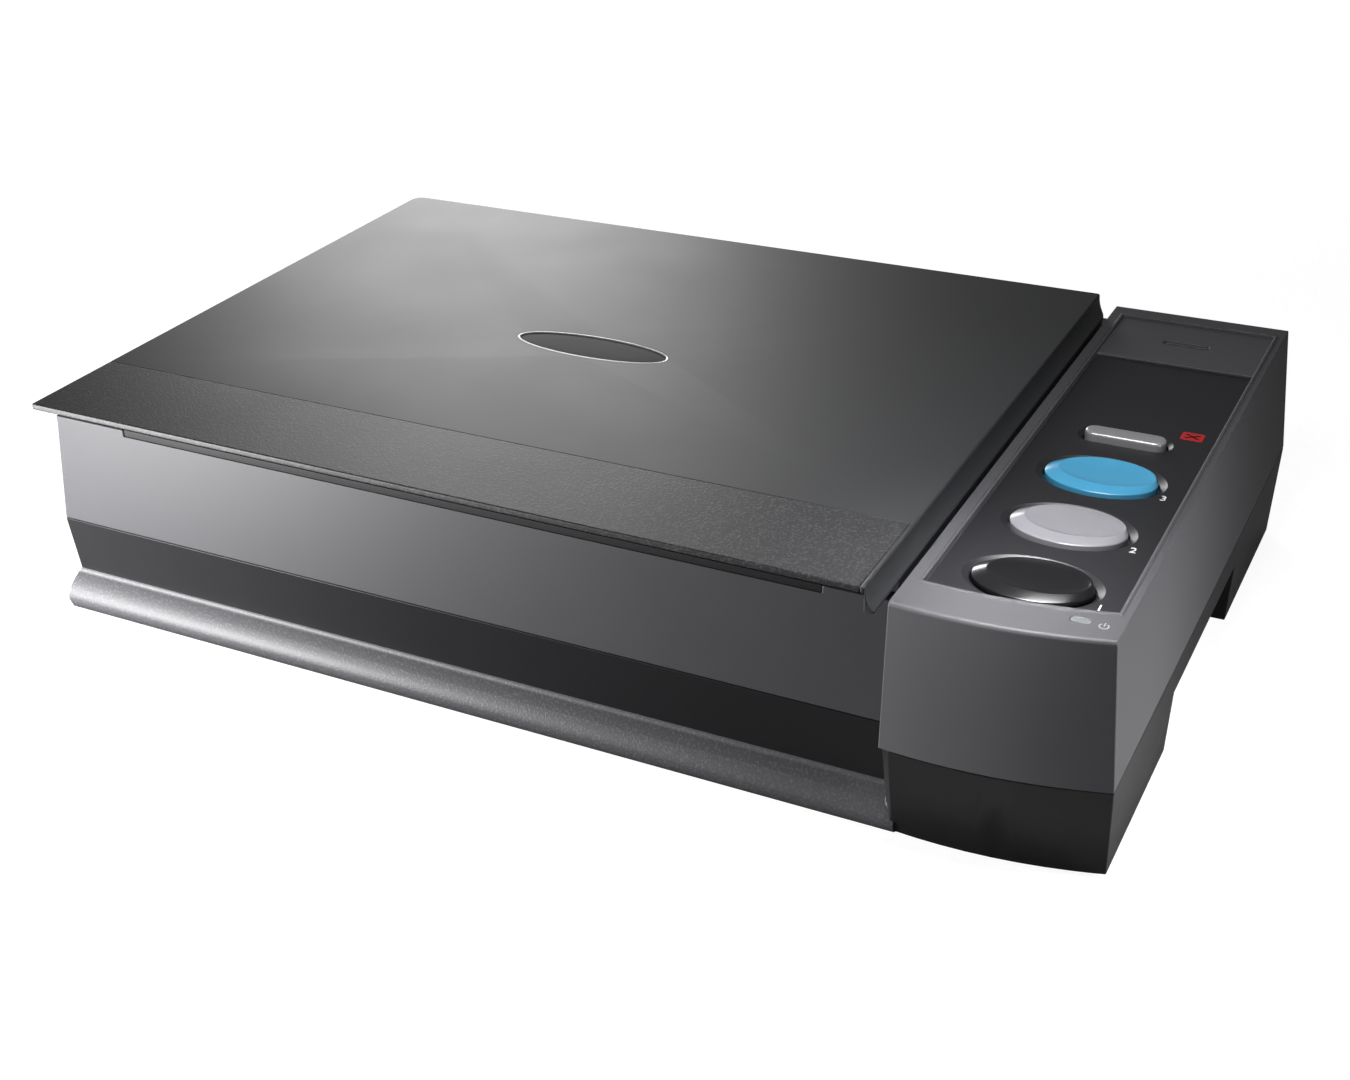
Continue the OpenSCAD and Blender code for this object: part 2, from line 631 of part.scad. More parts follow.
module glide_shoe() color("ivory")
    slab([car_mid - 10, car_mid + 10], [rail_y[0] + 2, rail_y[1] - 2],
        [rail_z + 0.2, car_z[0]]);

// Two jaws either side of the belt's front run
module belt_clamp() color("dimgray") translate([0, belt_y - belt_r, 0]) {
    slab([car_mid + 3, car_mid + 15], [-4.5, -belt_t / 2 - lift_gap], [belt_z[0] - 0.5, car_z[0]]);
    slab([car_mid + 3, car_mid + 15], [belt_t / 2 + lift_gap, 4], [belt_z[0] - 0.5, car_z[0]]);
}

module carriage_cover() color("gray") difference() {
    slab(car_x, car_y, [car_z[1], car_z[1] + 1.5]);
    slab([car_mid - 3, car_mid + 3], [car_y[0] + 5, car_y[1] - 5], [car_z[1] - 1, car_z[1] + 3]);
}

// Row of lamps along the slit
module light_bar() color("white") {
    slab([car_mid + 4, car_mid + 12], [car_y[0] + 4, car_y[1] - 4],
        [car_z[1] + 1.5, car_z[1] + 3]);
    along_y([car_y[0] + 4, car_y[1] - 4]) polygon([[car_mid + 5, car_z[1] + 2.9],
        [car_mid + 11, car_z[1] + 2.9], [car_mid + 11, car_z[1] + 5.2],
        [car_mid + 7, car_z[1] + 5.2]]);
}

// Three mirror strips that fold the light's path to the lens, held in the end walls
module mirrors() color("lightcyan")
    for (m = [[0, 0.2, 45], [-14, 0.35, 50], [12, 0.62, -40]])
        along_y([car_y[0] + car_wall, car_y[1] - car_wall])
            translate([car_mid + m[0], car_z[0] + m[1] * (car_z[1] - car_z[0])])
                rotate(m[2]) square([11, 2], center = true);

module lens() color("black") translate([car_mid, (car_y[0] + car_y[1]) / 2, 0]) {
    slab([6, 17], [-11, 11], [car_z[0] + car_wall, car_z[0] + 10]);
    slab([8, 15], [-13, 13], [car_z[0] + car_wall, car_z[0] + 4.5]);
}

module sensor_board() color("green") {
    y_mid = (car_y[0] + car_y[1]) / 2;
    slab([car_x[1] - car_wall - 1.6, car_x[1] - car_wall], [y_mid - 32, y_mid + 32],
        [car_z[0] + car_wall, car_z[0] + 22]);
    slab([car_x[1] - car_wall - 3.6, car_x[1] - car_wall - 1.6], [y_mid - 20, y_mid + 20],
        [car_z[0] + 8, car_z[0] + 16]);
}

// ---- Lid ----
// Posts that slide up in the deck when a thick book lies on the glass
module hinge_posts() color("silver") for (x = hinge_x) difference() {
    union() {
        slab([x - post_w / 2, x + post_w / 2], [pin_y - post_d / 2, pin_y + post_d / 2],
            [pin_z - post_l, pin_z]);
        bar_x([x - post_w / 2, x + post_w / 2], post_d / 2, pin_y, pin_z);
    }
    bar_x([x - 20, x + 20], pin_r + shaft_play, pin_y, pin_z);
}

module hinge_pins() color("silver") for (x = hinge_x)
    bar_x([x - 12.5, x + 12.5], pin_r, pin_y, pin_z);

// Lugs either side of each post, fixed up into the cover
module hinge_ears() color("dimgray") for (x = hinge_x, s = [-1, 1]) difference() {
    union() {
        slab([x + s * 10.4 - 2, x + s * 10.4 + 2], [pin_y - 3.6, pin_y + 1.9],
            [pin_z, lid_z[1] - skin]);
        bar_x([x + s * 10.4 - 2, x + s * 10.4 + 2], 3.6, pin_y, pin_z);
        slab([x + s * 10.4 - 2, x + s * 10.4 + 2], [pin_y - 12, pin_y],
            [lid_z[1] - skin - 3, lid_z[1] - skin]);
    }
    bar_x([x - 12.5, x + 12.5], pin_r, pin_y, pin_z);
}

// Right-hand side of the cover: a shallow hollow curve, as [from the edge, below the top]
rim_curve = [[-3.5, 0], [-3.3, -0.9], [-3.2, -2.5], [-2.9, -4], [-2.3, -5.6], [-1.4, -7],
    [-0.4, -7.9], [0, -8.2], [0, -9.5]];

// Plan of the cover, with its two back corners rounded
module lid_plan(r = 5.5) {
    w = lid_x[1] - lid_x[0];
    d = lid_y[1] - y_front;
    translate([lid_x[0], y_front]) square([w, d - r]);
    translate([lid_x[0] + r, y_front]) square([w - 2 * r, d]);
    for (x = [r, w - r]) translate([lid_x[0] + x, y_front + d - r]) circle(r = r);
}

// Cover: smooth top, walls all round, and the side rim that runs forward past the flap
module lid_cover() color("darkslategray") difference() {
    intersection() {
        union() {
            slab([lid_x[0], lid_x[1] - side_rim], lid_y, lid_z);
            along_y([y_front, lid_y[1]]) polygon(concat([[lid_x[1] - side_rim, lid_z[1]]],
                [for (p = rim_curve) [lid_x[1] + p[0], lid_z[1] + p[1]]],
                [[lid_x[1] - side_rim, lid_z[1] - 9.5]]));
            along_y(lid_y) polygon([[lid_x[1] - side_rim - 1, lid_z[0]],
                [lid_x[1] - side_rim - 1, lid_z[1] - 9], [lid_x[1], lid_z[1] - 9],
                [lid_x[1], lid_z[0]]]);
        }
        linear_extrude(2 * case_h) lid_plan();
    }
    // hollow under the skin, lower under the flap's seat
    slab([lid_x[0] + skin, lid_x[1] - side_rim], [flap_y1 + skin, lid_y[1] - skin],
        [0, lid_z[1] - skin]);
    slab([lid_x[0] + skin, lid_x[1] - side_rim], [lid_y[0] + skin, flap_y1 + 5],
        [0, lid_z[1] - flap_t - skin]);
    slab([lid_x[0] - 1, lid_x[1] - side_rim], [y_front, flap_y1], [lid_z[1] - flap_t, case_h + 1]);
    // the rim beside the flap is thin
    slab([lid_x[1] - side_rim - 1, lid_x[1] - 3.6], [y_front - 1, lid_y[0]],
        [0, lid_z[1] - flap_t]);
    // the back edge is lifted, so that it clears the deck as the lid opens
    slab([lid_x[0] - 1, lid_x[1] + 1], [pin_y - 2, y_back], [0, glass_z + 5]);
    for (x = hinge_x) slab([x - 13, x + 13], [pin_y - 4, y_back], [0, lid_z[1] - skin]);
    oval_post(badge_at, badge_l / 2, badge_l * 0.155, [case_h - 0.8, case_h + 1]);
}

// Grainy flap that the fingers lift the lid by
module lid_flap() color("dimgray")
    slab([lid_x[0], lid_x[1] - side_rim], [y_front, flap_y1], [case_h - flap_t, case_h]);

tray_bosses = [for (x = [lid_x[0] + 25, (lid_x[0] + lid_x[1]) / 2, lid_x[1] - 25],
    y = [flap_y1 + 15, pin_y - 25]) [x, y]];

module lid_tray() color("gray") difference() {
    union() {
        slab([lid_x[0] + skin, lid_x[1] - side_rim], [lid_y[0] + skin, pin_y - 9], tray_z);
        for (p = tray_bosses) post(p, 4, [tray_z[0], lid_z[1] - skin]);
    }
    for (p = tray_bosses) {
        post(p, 3.1, [tray_z[0] - 1, tray_z[0] + 2.2]);
        post(p, 1.5, [tray_z[0], lid_z[1] - skin - 1]);
    }
}

module lid_screws() color("silver") for (p = tray_bosses) screw(p, tray_z[0] + 2.2, 4);

pad_x = [glass_x[0] - 2, glass_x[1] + 2];
pad_y = [lid_y[0] + skin + 1, glass_y[1] + 2];
module pad_foam() color("lightgray") slab(pad_x, pad_y, [glass_z + 1.2, tray_z[0]]);
module pad_sheet() color("white") slab(pad_x, pad_y, [glass_z + lift_gap, glass_z + 1.2]);

module badge_rim() color("silver") difference() {
    oval_post(badge_at, badge_l / 2, badge_l * 0.155, [case_h - 0.8, case_h]);
    oval_post(badge_at, badge_l / 2 - 1.4, badge_l * 0.155 - 1.4, [case_h - 2, case_h + 1]);
}
module badge_plate() color("black") oval_post(badge_at, badge_l / 2 - 1.4,
    badge_l * 0.155 - 1.4, [case_h - 0.8, case_h - 0.3]);

// ---- Buttons ----
// Dished cap, flange under the shelf, and the stem over its switch
module scan_button(k) translate([button_x, button_y[k], 0]) {
    difference() {
        oval_post([0, 0], button_l / 2, button_w / 2, [shelf_z - 0.6, box_z + 1.5]);
        oval_post([0, 0], button_l / 2 - 4, button_w / 2 - 3.5, [box_z + 0.5, box_z + 3]);
    }
    oval_post([0, 0], button_l / 2 + 1.8, button_w / 2 + 1.8, [shelf_z - 2, shelf_z - 0.5]);
    post([0, 0], 3, [button_board_z + 5 + press + 0.1, shelf_z - 1]);
}
module button_black() color("black") scan_button(0);
module button_gray() color("darkgray") scan_button(1);
module button_blue() color("deepskyblue") scan_button(2);

module button_cancel() color("silver") translate([button_x, cancel_y, 0]) {
    translate([0, 0, shelf_z - 0.6]) linear_extrude(box_z + 1 - shelf_z) slot(bar_l, bar_w);
    translate([0, 0, shelf_z - 2]) linear_extrude(1.5) slot(bar_l + 3.6, bar_w + 3.6);
    post([0, 0], 3, [button_board_z + 5 + press + 0.1, shelf_z - 1]);
}

lower_base();
upper_housing();
scan_deck();
control_housing();
control_panel();
panel_cap();
platen_frame();
glass_plate();
calibration_strip();
guide_rod();
rod_holders();
support_rail();
drive_belt();
drive_motor();
motor_bracket();
gear_axle();
idler_bracket();
tension_spring();
idler_axle();
main_board();
socket_board();
usb_socket();
power_jack();
switch_housing();
button_board();
tact_switches();
status_lens();
rubber_feet();
case_screws();
board_screws();
flat_cable();
carriage_housing();
bearing_blocks();
carriage_cover();
light_bar();
mirrors();
lens();
sensor_board();
rod_bushings();
glide_shoe();
belt_clamp();
drive_gear();
motor_pinion();
idler_pulley();
hinge_posts();
hinge_pins();
lid_cover();
lid_flap();
lid_tray();
pad_foam();
pad_sheet();
badge_rim();
badge_plate();
hinge_ears();
lid_screws();
button_blue();
button_gray();
button_black();
button_cancel();
power_rocker();
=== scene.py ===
import json
import math
import bpy
import bmesh
from mathutils import Matrix, Vector


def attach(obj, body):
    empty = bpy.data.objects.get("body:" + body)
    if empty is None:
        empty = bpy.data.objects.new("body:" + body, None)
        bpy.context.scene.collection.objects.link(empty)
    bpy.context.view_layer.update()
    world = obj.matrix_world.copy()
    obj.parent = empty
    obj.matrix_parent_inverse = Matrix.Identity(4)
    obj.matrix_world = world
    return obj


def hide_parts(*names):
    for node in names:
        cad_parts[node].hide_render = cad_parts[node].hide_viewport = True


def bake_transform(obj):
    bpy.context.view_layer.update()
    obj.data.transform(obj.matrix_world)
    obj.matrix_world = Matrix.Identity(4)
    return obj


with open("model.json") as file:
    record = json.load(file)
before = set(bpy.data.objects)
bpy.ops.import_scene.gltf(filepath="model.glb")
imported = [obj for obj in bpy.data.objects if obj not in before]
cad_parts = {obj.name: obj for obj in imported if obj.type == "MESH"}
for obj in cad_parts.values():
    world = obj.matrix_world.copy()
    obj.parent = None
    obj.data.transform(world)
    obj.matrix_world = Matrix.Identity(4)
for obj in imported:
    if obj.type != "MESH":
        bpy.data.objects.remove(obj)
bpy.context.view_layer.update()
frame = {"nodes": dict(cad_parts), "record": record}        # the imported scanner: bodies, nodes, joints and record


# ---- Lower tub ----
# The bottom half of the case, injection moulded in dark ABS. The band under the belt line is
# satin, and the rounded skirt below the crease keeps the coarse grain sparked into the mould.

def linear(hex_colour):
    """An sRGB hex colour as linear RGBA."""
    parts = [int(hex_colour[i:i + 2], 16) / 255 for i in (1, 3, 5)]
    return tuple(p / 12.92 if p <= 0.04045 else ((p + 0.055) / 1.055) ** 2.4
                 for p in parts) + (1.0,)


def add(tree, kind, inputs=None, **settings):
    """Adds one node; an input is either a plain value or the socket that feeds it."""
    node = tree.nodes.new(kind)
    for key, value in settings.items():
        setattr(node, key, value)
    for key, value in (inputs or {}).items():
        if isinstance(value, bpy.types.NodeSocket):
            tree.links.new(value, node.inputs[key])
        else:
            node.inputs[key].default_value = value
    return node


def principled(name, colour, **constants):
    """A new material: its node tree, its shader, and the place on the object in metres."""
    material = bpy.data.materials.new(name)
    material.use_nodes = True
    tree = material.node_tree
    shader = tree.nodes["Principled BSDF"]
    shader.inputs["Base Color"].default_value = linear(colour)
    for key, value in constants.items():
        shader.inputs[key].default_value = value
    return material, tree, shader, add(tree, "ShaderNodeTexCoord").outputs["Object"]


def moulded(name, colour, roughness, grain, depth, crest_glint_paint=0.0, cloud=0.06, specular=0.5,
            crests=(0.36, 0.68)):
    """Moulded plastic. grain and depth are the width and height of one grain in mm, speckle is
    how far the crests are painted pale towards white, a painted highlight for light on the
    grain tops; cloud is how uneven the colour is, and crests says how sharply the grains
    stand out."""
    material, tree, shader, place = principled(
        name, colour, **{"IOR": 1.5, "Specular IOR Level": specular})
    grains = add(tree, "ShaderNodeTexNoise", {"Vector": place, "Scale": 1000 / (1.6 * grain),
                                              "Detail": 2.0, "Roughness": 0.55})
    crest = add(tree, "ShaderNodeMapRange", {"Value": grains.outputs["Fac"],
                                             "From Min": crests[0], "From Max": crests[1]})
    broad = add(tree, "ShaderNodeTexNoise", {"Vector": place, "Scale": 17.0, "Detail": 3.0})
    base = linear(colour)
    uneven = add(tree, "ShaderNodeMix", {
        0: broad.outputs["Fac"], 6: tuple(c * (1 - cloud) for c in base[:3]) + (1.0,),
        7: tuple(c * (1 + cloud) for c in base[:3]) + (1.0,)}, data_type="RGBA")
    # the crests are painted pale towards #c9c9cc: a painted highlight for light glinting off the grain tops
    painted_crest_glints = add(tree, "ShaderNodeMath", {0: crest.outputs["Result"], 1: crest_glint_paint},
                 operation="MULTIPLY")
    colours = add(tree, "ShaderNodeMix", {0: painted_crest_glints.outputs[0], 6: uneven.outputs[2],
                                          7: linear("#c9c9cc")}, data_type="RGBA")
    tree.links.new(colours.outputs[2], shader.inputs["Base Color"])
    sheen = add(tree, "ShaderNodeMapRange", {"Value": broad.outputs["Fac"],
                                             "To Min": roughness - 0.03,
                                             "To Max": roughness + 0.03})
    tree.links.new(sheen.outputs["Result"], shader.inputs["Roughness"])
    relief = add(tree, "ShaderNodeBump", {"Height": crest.outputs["Result"],
                                          "Distance": depth / 1000, "Strength": 0.7})
    tree.links.new(relief.outputs["Normal"], shader.inputs["Normal"])
    return material


def plane_edges(mesh, turn):
    """The edges where two faces meet at more than turn degrees."""
    return [e for e in mesh.edges if len(e.link_faces) == 2
            and e.calc_face_angle(0.0) > math.radians(turn)]


def moulding(node, name, materials, *roundings, turn=30):
    """A piece with the shape of a CAD node and its sharp edges rounded. Each rounding is a
    radius in mm and a test of an edge's middle, in mm; the first test that holds is used."""
    mesh = bmesh.new()
    mesh.from_mesh(frame["nodes"][node].data)
    bmesh.ops.remove_doubles(mesh, verts=mesh.verts, dist=1e-5)
    bmesh.ops.dissolve_limit(mesh, angle_limit=math.radians(0.4), verts=mesh.verts,
                             edges=mesh.edges)
    for radius, where in roundings:
        picked = [e for e in plane_edges(mesh, turn)
                  if where((e.verts[0].co + e.verts[1].co) * 500)]
        bmesh.ops.bevel(mesh, geom=picked, offset=radius / 1000, offset_type="OFFSET",
                        affect="EDGES", segments=3, profile=0.5, clamp_overlap=False)
    bmesh.ops.triangulate(mesh, faces=[f for f in mesh.faces if len(f.verts) > 4])
    return new_piece(mesh, name, materials)


def new_piece(mesh, name, materials, smooth=40):
    """Turns a bmesh into an object with smooth faces and crisp edges above smooth degrees."""
    data = bpy.data.meshes.new(name)
    mesh.to_mesh(data)
    mesh.free()
    data.shade_smooth()
    data.set_sharp_from_angle(angle=math.radians(smooth))
    for material in materials:
        data.materials.append(material)
    piece = bpy.data.objects.new(name, data)
    bpy.context.scene.collection.objects.link(piece)
    weighted = piece.modifiers.new("even light", "WEIGHTED_NORMAL")
    weighted.keep_sharp = True
    return piece


body_of_node = {node: body for body, nodes in frame["record"]["behaviour"]["bodies"].items()
                for node in nodes}


def fit(piece, slot, *nodes):
    """The piece stands for these CAD nodes and moves with their body."""
    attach(piece, body_of_node[nodes[0]])
    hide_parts(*nodes)


# satin ABS: a fine texture of about 0.3 mm, drawn at 0.5 mm so that it shows
satin_black_abs = moulded("satin black ABS", "#131315", 0.4, 0.5, 0.006, specular=0.2)
# coarse spark-eroded ABS: grains of 0.6 mm whose tops are painted pale, a painted highlight for the light they
# catch
grain_and_glint_skirt_abs = moulded("coarse-grained ABS", "#3e3e41", 0.5, 0.6, 0.035, crest_glint_paint=0.05,
                            specular=0.4, crests=(0.5, 0.66))

tub = moulding("lower_base", "tub", [satin_black_abs, grain_and_glint_skirt_abs], (0.5, lambda p: (
    p.x < -213 or p.x > 218 or p.y < -118.8 or p.y > 139.5
    or (p.x > 185 and -45 < p.y < 58 and p.z < 28))
    and not (abs(p.z - 16.5) < 0.6 and p.x < 148) and p.z > 1.6))
for face in tub.data.polygons:
    middle = face.center * 1000
    if middle.x < 148.4 and middle.z < 16.4 and (middle.y < -121 or middle.x < -223):
        face.material_index = 1
fit(tub, "dark_abs", "lower_base")


# ---- Upper shell of the bed ----
# Walls of the scan bed, their two front corners raised beside the glass. Grey ABS with a fine
# matt texture, which goes pale where light grazes it.

# fine-textured ABS: grains of 0.45 mm, just enough to soften every reflection
matt_gray_abs = moulded("matt grey ABS", "#363639", 0.5, 0.45, 0.008, specular=0.3)
bed_walls = moulding("upper_housing", "bed_walls", [matt_gray_abs], (
    0.7, lambda p: p.x < -213 or p.y < -121.5 or p.y > 139.5))
fit(bed_walls, "gray_abs", "upper_housing")


def dress(node, material, edge=0.0):
    """Gives a CAD node its material and, for edge in mm, slightly rounded edges."""
    piece = frame["nodes"][node]
    if "custom_normal" in piece.data.attributes:
        piece.data.attributes.remove(piece.data.attributes["custom_normal"])
    piece.data.materials.clear()
    piece.data.materials.append(material)
    piece.data.shade_smooth()
    weld = piece.modifiers.new("weld", "WELD")
    weld.merge_threshold = 1e-5
    flat = piece.modifiers.new("flat faces", "DECIMATE")
    flat.decimate_type = "DISSOLVE"
    flat.angle_limit = math.radians(0.5)
    if edge:
        rounding = piece.modifiers.new("rounding", "BEVEL")
        rounding.width = edge / 1000
        rounding.segments = 2
        rounding.limit_method = "ANGLE"
        rounding.angle_limit = math.radians(35)
    split = piece.modifiers.new("crisp edges", "EDGE_SPLIT")
    split.split_angle = math.radians(40)
    even = piece.modifiers.new("even light", "WEIGHTED_NORMAL")
    even.keep_sharp = True
    return piece


# ---- Scan deck and glass frame ----
# The deck closes the bed and carries the glass; the frame round the glass is the grey surface
# seen with the lid up. Both are matt ABS.

# dull black ABS inside the case, which must throw no light back at the sensor
dull_inner_abs = moulded("dull inner ABS", "#202022", 0.62, 0.6, 0.01, specular=0.3)
dress("scan_deck", dull_inner_abs)
glass_frame = moulding("platen_frame", "glass_frame", [matt_gray_abs], (
    0.4, lambda p: p.z > 88))
fit(glass_frame, "gray_abs", "platen_frame")


# ---- Glass ----
# A plate of 3 mm float glass with ground edges, laid on the deck.

# float glass: clear, with the faint green of its iron seen only through its edges
float_glass, tree, shader, place = principled(
    "float glass", "#eef6f3", **{"Roughness": 0.02, "IOR": 1.52, "Transmission Weight": 1.0})
smears = add(tree, "ShaderNodeTexNoise", {"Vector": place, "Scale": 30.0, "Detail": 4.0})
haze = add(tree, "ShaderNodeMapRange", {"Value": smears.outputs["Fac"], "From Min": 0.4,
                                        "From Max": 0.8, "To Min": 0.0, "To Max": 0.06})
tree.links.new(haze.outputs["Result"], shader.inputs["Roughness"])
plate = dress("glass_plate", float_glass, 0.3)
# the front edge, where a book's spine lies, is ground; its near-black colour is painted shade, so that the slot in
# front of the glass renders as a dark gap
plate.data.materials.append(moulded("painted slot shade", "#0b0b0c", 0.6, 0.4, 0.003,
                                    specular=0.2))
for face in plate.data.polygons:
    face.material_index = 1 if face.normal.y < -0.9 else 0

# white reference strip: matt printed paint on film
reference_white = moulded("reference white paint", "#f2f2ee", 0.6, 0.6, 0.004, cloud=0.01)
dress("calibration_strip", reference_white)


# ---- Control box ----
# The upper shell of the box at the right: textured dark ABS, with a bowed front and a low
# ridge round the recess that holds the button panel.

# dark textured ABS of the box and cap
box_abs = moulded("dark textured ABS", "#49494c", 0.5, 0.45, 0.008, specular=0.3)
control_box = moulding(
    "control_housing", "control_box", [box_abs],
    (1.6, lambda p: p.z > 95.8 and p.y < -128 and 148.6 < p.x < 222.4),
    (0.4, lambda p: p.z > 41 and (p.z > 92.6 or p.y < -128 or p.x > 217.5 or p.y > 139.5
                                  or p.x < 149)))
fit(control_box, "dark_abs", "control_housing")


def oval(at, a, b, z, steps=72):
    """Points of an oval with semi-axes a and b round at, all in mm."""
    return [(at[0] + a * math.cos(math.tau * i / steps),
             at[1] + b * math.sin(math.tau * i / steps), z) for i in range(steps)]


def stadium(at, length, width, z, steps=36):
    """Points of a bar with round ends, in mm."""
    points = []
    for i in range(steps * 2):
        turn = math.pi * (i + 0.5) / steps
        end = 1 if math.cos(turn) > 0 else -1
        points.append((at[0] + end * (length - width) / 2 + width / 2 * math.cos(turn),
                       at[1] + width / 2 * math.sin(turn), z))
    return points


def skin(mesh, rings, closed=False):
    """Joins rings of equally many points, in mm, by a skin; closed caps both ends."""
    loops = [[mesh.verts.new(Vector(p) / 1000) for p in ring] for ring in rings]
    for low, high in zip(loops, loops[1:]):
        for i in range(len(low)):
            j = (i + 1) % len(low)
            mesh.faces.new((low[i], low[j], high[j], high[i]))
    if closed:
        mesh.faces.new(list(reversed(loops[0])))
        mesh.faces.new(loops[-1])
    return loops


def lofted(name, rings, materials):
    """A closed piece whose skin runs through the rings, in mm."""
    mesh = bmesh.new()
    skin(mesh, rings, closed=True)
    return new_piece(mesh, name, materials)


# ---- Button panel ----
# A near-black panel snapped into the recess. Round each button it dips into a shallow sloping
# well, moulded in one with it.

button_x = 186.1
button_y = {"black": -99.5, "gray": -58.5, "blue": -17.5}
cancel_y = 16.0
button_a, button_b = 20.75, 13.5
panel_base, panel_top = 92.5, 94.5
bow_radius = 200
bow_middle = (168.5, 83.0)

# smooth satin ABS of the panel
panel_abs = moulded("smooth black ABS", "#1f1f22", 0.4, 0.5, 0.003, specular=0.4)


def panel_outline(z, inset=0.0, corner=2.5):
    """The panel seen from above: straight sides and back, front bowed to bow_radius."""
    left, right, back = 154.2 + inset, 218.0 - inset, 89.9 - inset
    points = []
    for i in range(25):
        x = left + (right - left) * i / 24
        points.append((x, bow_middle[1] + inset
                       - math.sqrt(bow_radius ** 2 - (x - bow_middle[0]) ** 2), z))
    for centre, start in ((right - corner, 0), (left + corner, 90)):
        for i in range(7):
            turn = math.radians(start + 15 * i)
            points.append((centre + corner * math.cos(turn),
                           back - corner + corner * math.sin(turn), z))
    return points


def button_panel():
    """The panel's top and rim in one skin, open below, with a well for each button."""
    mesh = bmesh.new()
    outer = skin(mesh, [panel_outline(panel_base), panel_outline(94.2),
                        panel_outline(panel_top, 0.3)])
    wells = []
    for y in button_y.values():
        at = (button_x, y)
        wells.append(skin(mesh, [
            oval(at, button_a + 0.75, button_b + 0.75, 92.6),
            oval(at, button_a + 0.75, button_b + 0.75, 93.0),
            oval(at, button_a + 1.0, button_b + 1.0, 93.2),
            oval(at, button_a + 2.5, button_b + 2.2, 93.9),
            oval(at, button_a + 3.1, button_b + 2.7, 94.3),
            oval(at, button_a + 3.4, button_b + 3.0, panel_top)]))
    at = (button_x, cancel_y)
    wells.append(skin(mesh, [
        stadium(at, 32.6, 9.6, 92.6), stadium(at, 32.6, 9.6, 93.0),
        stadium(at, 33.0, 10.0, 93.3), stadium(at, 35.4, 12.4, 94.0),
        stadium(at, 36.2, 13.2, panel_top)]))
    rims = [outer[-1]] + [w[-1] for w in wells]
    edges = [mesh.edges.get((ring[i], ring[(i + 1) % len(ring)]))
             for ring in rims for i in range(len(ring))]
    bmesh.ops.triangle_fill(mesh, edges=edges, use_beauty=True, normal=(0, 0, 1))
    bmesh.ops.recalc_face_normals(mesh, faces=mesh.faces)
    return new_piece(mesh, "button_panel", [panel_abs])


fit(button_panel(), "panel_black", "control_panel")

# the cap behind it, with its pill-shaped mark
cap = moulding("panel_cap", "rear_cap", [box_abs], (0.4, lambda p: p.z > 93.5))
fit(cap, "gray_abs", "panel_cap")


# ---- Marks on the panel ----
# Plain numbers beside the buttons, a square for stop and the usual on sign, pad printed.

# pad-printing ink: thin and matt
white_ink = moulded("white pad-printing ink", "#d4d4d6", 0.5, 0.4, 0.003, cloud=0.03)
red_ink = moulded("red pad-printing ink", "#a81218", 0.5, 0.4, 0.003, cloud=0.03)
gray_ink = moulded("grey pad-printing ink", "#85858a", 0.5, 0.4, 0.003, cloud=0.03)
black_ink = moulded("black pad-printing ink", "#0c0606", 0.5, 0.4, 0.003, cloud=0.03)


def printed(name, outlines, z, ink):
    """Flat ink, 0.06 mm thick, inside outlines in mm."""
    mesh = bmesh.new()
    for outline in outlines:
        skin(mesh, [[(x, y, z) for x, y in outline], [(x, y, z + 0.06) for x, y in outline]],
             closed=True)
    bmesh.ops.recalc_face_normals(mesh, faces=mesh.faces)
    piece = new_piece(mesh, name, [ink])
    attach(piece, "base")
    return piece


def numeral(name, character, at):
    """One number 3.6 mm high, from the plain built-in letters."""
    curve = bpy.data.curves.new(name, "FONT")
    curve.body = character
    curve.size = 5.2
    curve.extrude = 0.03
    curve.align_x = curve.align_y = "CENTER"
    holder = bpy.data.objects.new(name + "_curve", curve)
    data = bpy.data.meshes.new_from_object(holder)
    bpy.data.objects.remove(holder)
    data.transform(Matrix.Translation(Vector((at[0], at[1], 94.53)) / 1000)
                   @ Matrix.Scale(0.001, 4))
    data.name = name
    data.materials.clear()
    data.materials.append(white_ink)
    piece = bpy.data.objects.new(name, data)
    bpy.context.scene.collection.objects.link(piece)
    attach(piece, "base")


for number, y in enumerate(button_y.values(), 1):
    numeral("number_" + str(number), str(number), (210.8, y - 8.2))


def arc(at, radius, start, end, steps=24):
    """Points along an arc, its radius in mm and its ends in degrees."""
    return [(at[0] + radius * math.cos(math.radians(start + (end - start) * i / steps)),
             at[1] + radius * math.sin(math.radians(start + (end - start) * i / steps)))
            for i in range(steps + 1)]


def rounded_block(x0, x1, y0, y1, r):
    """A rectangle with corners of radius r, all in mm."""
    corners = ((x1 - r, y1 - r, 0), (x0 + r, y1 - r, 90), (x0 + r, y0 + r, 180),
               (x1 - r, y0 + r, 270))
    return [p for x, y, start in corners for p in arc((x, y), r, start, start + 90, 5)]


printed("cancel_mark", [rounded_block(204.4, 212.8, 24.4, 31.2, 1.0)], panel_top, red_ink)
cross_left, cross_right, cross_front, cross_back = 206.0, 211.2, 26.1, 29.5
stroke = 0.3
printed("cancel_cross", [
    [(cross_left - stroke, cross_front + stroke), (cross_left + stroke, cross_front - stroke),
     (cross_right + stroke, cross_back - stroke), (cross_right - stroke, cross_back + stroke)],
    [(cross_left - stroke, cross_back - stroke), (cross_left + stroke, cross_back + stroke),
     (cross_right + stroke, cross_front + stroke),
     (cross_right - stroke, cross_front - stroke)]], 94.58, black_ink)
sign = (215.6, -120.4)
box_top = 96.0
printed("on_sign", [
    arc(sign, 1.7, 125, 415) + list(reversed(arc(sign, 1.3, 125, 415))),
    [(215.4, sign[1]), (215.8, sign[1]), (215.8, -118.3), (215.4, -118.3)]], box_top, gray_ink)


# ---- Status lens ----
# A milky acrylic light guide in the top of the box; unlit.

